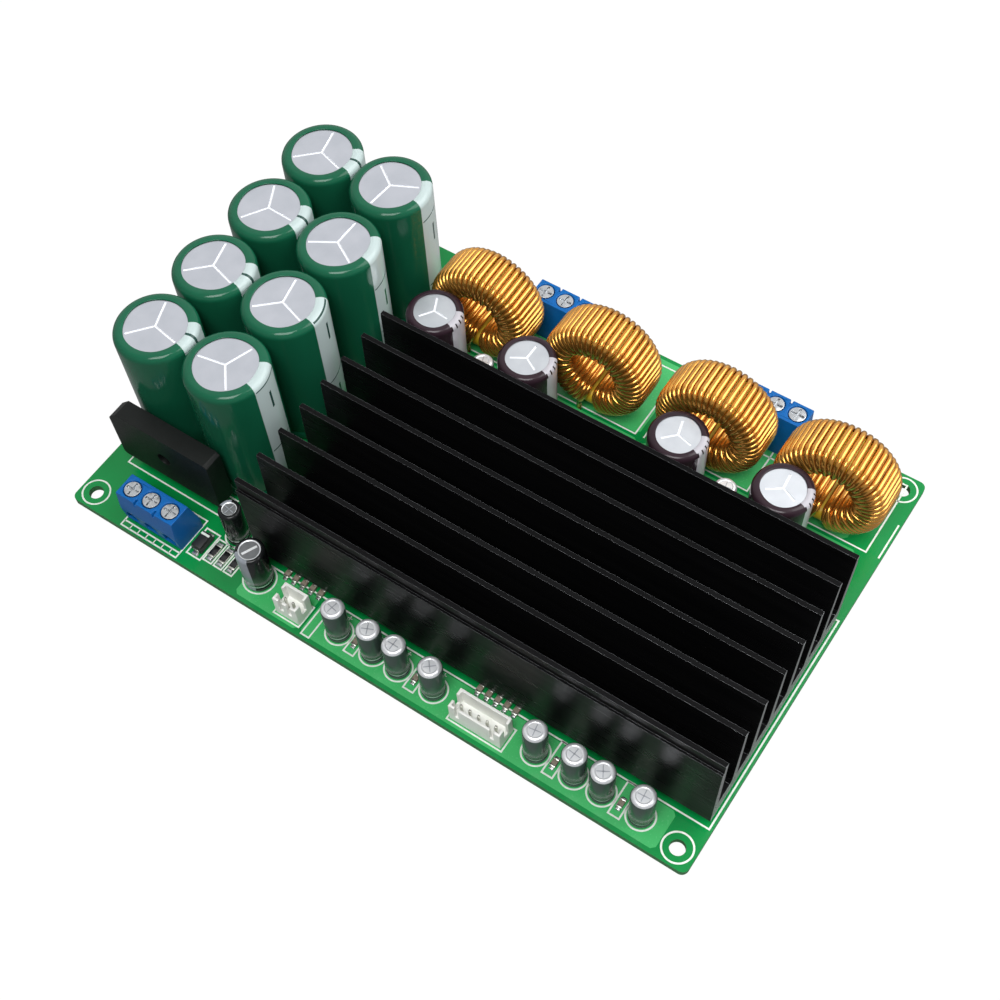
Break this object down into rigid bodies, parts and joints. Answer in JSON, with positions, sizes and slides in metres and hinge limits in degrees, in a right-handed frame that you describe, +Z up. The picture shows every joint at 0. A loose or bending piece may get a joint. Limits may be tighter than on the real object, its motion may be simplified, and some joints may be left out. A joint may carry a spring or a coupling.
{
  "type": "audio amplifier board",
  "caption": "Green circuit board with a black comb heatsink over its amplifier chips, tall green filter capacitors, toroid output inductors, pin headers and blue screw terminals.",
  "frame": {"origin": "middle of the board's outline, at the tips of the solder joints that it rests on", "axes": "+X along the board's long side to the right, +Y to the speaker terminals at the rear, +Z up"},
  "size_m": [0.152, 0.1, 0.0396],
  "materials": {
    "solder_mask_green": "glossy green solder mask over glass-epoxy laminate",
    "solder": "bright reflowed solder",
    "anodised_black": "satin black anodised extrusion with bare sawn ends",
    "zinc_steel": "zinc-plated steel",
    "epoxy_black": "matt black moulding compound",
    "silicone_pad": "grey silicone thermal pad",
    "can_aluminium": "satin drawn aluminium",
    "sleeve_green": "glossy deep green shrink sleeve with pale stripe",
    "sleeve_brown": "glossy dark brown shrink sleeve with pale stripe",
    "sleeve_dark": "glossy dark shrink sleeve over an aluminium can",
    "core_yellow": "yellow epoxy paint on pressed iron powder",
    "copper_enamel": "clear-enamelled copper wire",
    "nylon_ivory": "ivory nylon",
    "tinned_pin": "tinned brass",
    "chip_black": "black glazed chip with tinned ends",
    "chip_tan": "tan fired ceramic with tinned ends",
    "terminal_blue": "royal blue moulded polyamide",
    "nickel_steel": "nickel-plated steel"
  },
  "bodies": {
    "board": {"circuit_board": "solder_mask_green", "solder_joints": "solder", "heatsink": "anodised_black", "heatsink_screws": "zinc_steel", "amplifier_chip_1": "epoxy_black", "amplifier_chip_2": "epoxy_black", "thermal_pad_1": "silicone_pad", "thermal_pad_2": "silicone_pad", "bridge_rectifier": "epoxy_black", "filter_capacitors": "can_aluminium", "filter_sleeves": "sleeve_green", "rail_capacitors": "can_aluminium", "rail_sleeves": "sleeve_brown", "signal_capacitors": "sleeve_dark", "bypass_capacitors": "sleeve_dark", "supply_capacitors": "sleeve_dark", "inductor_core_1": "core_yellow", "inductor_core_2": "core_yellow", "inductor_core_3": "core_yellow", "inductor_core_4": "core_yellow", "inductor_winding_1": "copper_enamel", "inductor_winding_2": "copper_enamel", "inductor_winding_3": "copper_enamel", "inductor_winding_4": "copper_enamel", "input_header": "nylon_ivory", "input_pins": "tinned_pin", "fan_header": "nylon_ivory", "fan_pins": "tinned_pin", "diode": "epoxy_black", "chip_resistors": "chip_black", "chip_ceramics": "chip_tan", "ac_terminal": "terminal_blue", "speaker_terminal_1": "terminal_blue", "speaker_terminal_2": "terminal_blue", "terminal_contacts": "tinned_pin"},
    "ac_screw_1": {"ac_screw_1": "nickel_steel"},
    "ac_clamp_1": {"ac_clamp_1": "nickel_steel"},
    "ac_screw_2": {"ac_screw_2": "nickel_steel"},
    "ac_clamp_2": {"ac_clamp_2": "nickel_steel"},
    "ac_screw_3": {"ac_screw_3": "nickel_steel"},
    "ac_clamp_3": {"ac_clamp_3": "nickel_steel"},
    "speaker_screw_1": {"speaker_screw_1": "nickel_steel"},
    "speaker_clamp_1": {"speaker_clamp_1": "nickel_steel"},
    "speaker_screw_2": {"speaker_screw_2": "nickel_steel"},
    "speaker_clamp_2": {"speaker_clamp_2": "nickel_steel"},
    "speaker_screw_3": {"speaker_screw_3": "nickel_steel"},
    "speaker_clamp_3": {"speaker_clamp_3": "nickel_steel"},
    "speaker_screw_4": {"speaker_screw_4": "nickel_steel"},
    "speaker_clamp_4": {"speaker_clamp_4": "nickel_steel"},
    "speaker_screw_5": {"speaker_screw_5": "nickel_steel"},
    "speaker_clamp_5": {"speaker_clamp_5": "nickel_steel"},
    "speaker_screw_6": {"speaker_screw_6": "nickel_steel"},
    "speaker_clamp_6": {"speaker_clamp_6": "nickel_steel"},
    "speaker_screw_7": {"speaker_screw_7": "nickel_steel"},
    "speaker_clamp_7": {"speaker_clamp_7": "nickel_steel"},
    "speaker_screw_8": {"speaker_screw_8": "nickel_steel"},
    "speaker_clamp_8": {"speaker_clamp_8": "nickel_steel"}
  },
  "joints": [
    {"name": "ac_screw_1_turn", "type": "hinge", "parent": "board", "child": "ac_screw_1", "pos_m": [-0.05968, -0.0447, 0.0135], "axis": [0, 0, -1], "range_deg": [0, 1760.5]},
    {"name": "ac_clamp_1_rise", "type": "slide", "parent": "board", "child": "ac_clamp_1", "axis": [0, 0, 1], "range_m": [0, 0.0022]},
    {"name": "ac_screw_2_turn", "type": "hinge", "parent": "board", "child": "ac_screw_2", "pos_m": [-0.0546, -0.0447, 0.0135], "axis": [0, 0, -1], "range_deg": [0, 1760.5]},
    {"name": "ac_clamp_2_rise", "type": "slide", "parent": "board", "child": "ac_clamp_2", "axis": [0, 0, 1], "range_m": [0, 0.0022]},
    {"name": "ac_screw_3_turn", "type": "hinge", "parent": "board", "child": "ac_screw_3", "pos_m": [-0.04952, -0.0447, 0.0135], "axis": [0, 0, -1], "range_deg": [0, 1760.5]},
    {"name": "ac_clamp_3_rise", "type": "slide", "parent": "board", "child": "ac_clamp_3", "axis": [0, 0, 1], "range_m": [0, 0.0022]},
    {"name": "speaker_screw_1_turn", "type": "hinge", "parent": "board", "child": "speaker_screw_1", "pos_m": [-0.01532, 0.0447, 0.0135], "axis": [0, 0, -1], "range_deg": [0, 1760.5]},
    {"name": "speaker_clamp_1_rise", "type": "slide", "parent": "board", "child": "speaker_clamp_1", "axis": [0, 0, 1], "range_m": [0, 0.0022]},
    {"name": "speaker_screw_2_turn", "type": "hinge", "parent": "board", "child": "speaker_screw_2", "pos_m": [-0.01024, 0.0447, 0.0135], "axis": [0, 0, -1], "range_deg": [0, 1760.5]},
    {"name": "speaker_clamp_2_rise", "type": "slide", "parent": "board", "child": "speaker_clamp_2", "axis": [0, 0, 1], "range_m": [0, 0.0022]},
    {"name": "speaker_screw_3_turn", "type": "hinge", "parent": "board", "child": "speaker_screw_3", "pos_m": [-0.00516, 0.0447, 0.0135], "axis": [0, 0, -1], "range_deg": [0, 1760.5]},
    {"name": "speaker_clamp_3_rise", "type": "slide", "parent": "board", "child": "speaker_clamp_3", "axis": [0, 0, 1], "range_m": [0, 0.0022]},
    {"name": "speaker_screw_4_turn", "type": "hinge", "parent": "board", "child": "speaker_screw_4", "pos_m": [-0.00008, 0.0447, 0.0135], "axis": [0, 0, -1], "range_deg": [0, 1760.5]},
    {"name": "speaker_clamp_4_rise", "type": "slide", "parent": "board", "child": "speaker_clamp_4", "axis": [0, 0, 1], "range_m": [0, 0.0022]},
    {"name": "speaker_screw_5_turn", "type": "hinge", "parent": "board", "child": "speaker_screw_5", "pos_m": [0.03168, 0.0447, 0.0135], "axis": [0, 0, -1], "range_deg": [0, 1760.5]},
    {"name": "speaker_clamp_5_rise", "type": "slide", "parent": "board", "child": "speaker_clamp_5", "axis": [0, 0, 1], "range_m": [0, 0.0022]},
    {"name": "speaker_screw_6_turn", "type": "hinge", "parent": "board", "child": "speaker_screw_6", "pos_m": [0.03676, 0.0447, 0.0135], "axis": [0, 0, -1], "range_deg": [0, 1760.5]},
    {"name": "speaker_clamp_6_rise", "type": "slide", "parent": "board", "child": "speaker_clamp_6", "axis": [0, 0, 1], "range_m": [0, 0.0022]},
    {"name": "speaker_screw_7_turn", "type": "hinge", "parent": "board", "child": "speaker_screw_7", "pos_m": [0.04184, 0.0447, 0.0135], "axis": [0, 0, -1], "range_deg": [0, 1760.5]},
    {"name": "speaker_clamp_7_rise", "type": "slide", "parent": "board", "child": "speaker_clamp_7", "axis": [0, 0, 1], "range_m": [0, 0.0022]},
    {"name": "speaker_screw_8_turn", "type": "hinge", "parent": "board", "child": "speaker_screw_8", "pos_m": [0.04692, 0.0447, 0.0135], "axis": [0, 0, -1], "range_deg": [0, 1760.5]},
    {"name": "speaker_clamp_8_rise", "type": "slide", "parent": "board", "child": "speaker_clamp_8", "axis": [0, 0, 1], "range_m": [0, 0.0022]}
  ],
  "couplings": [
    {"joint": "ac_screw_1_turn", "follows": "ac_clamp_1_rise", "rad_per_m": 13963},
    {"joint": "ac_screw_2_turn", "follows": "ac_clamp_2_rise", "rad_per_m": 13963},
    {"joint": "ac_screw_3_turn", "follows": "ac_clamp_3_rise", "rad_per_m": 13963},
    {"joint": "speaker_screw_1_turn", "follows": "speaker_clamp_1_rise", "rad_per_m": 13963},
    {"joint": "speaker_screw_2_turn", "follows": "speaker_clamp_2_rise", "rad_per_m": 13963},
    {"joint": "speaker_screw_3_turn", "follows": "speaker_clamp_3_rise", "rad_per_m": 13963},
    {"joint": "speaker_screw_4_turn", "follows": "speaker_clamp_4_rise", "rad_per_m": 13963},
    {"joint": "speaker_screw_5_turn", "follows": "speaker_clamp_5_rise", "rad_per_m": 13963},
    {"joint": "speaker_screw_6_turn", "follows": "speaker_clamp_6_rise", "rad_per_m": 13963},
    {"joint": "speaker_screw_7_turn", "follows": "speaker_clamp_7_rise", "rad_per_m": 13963},
    {"joint": "speaker_screw_8_turn", "follows": "speaker_clamp_8_rise", "rad_per_m": 13963}
  ]
}
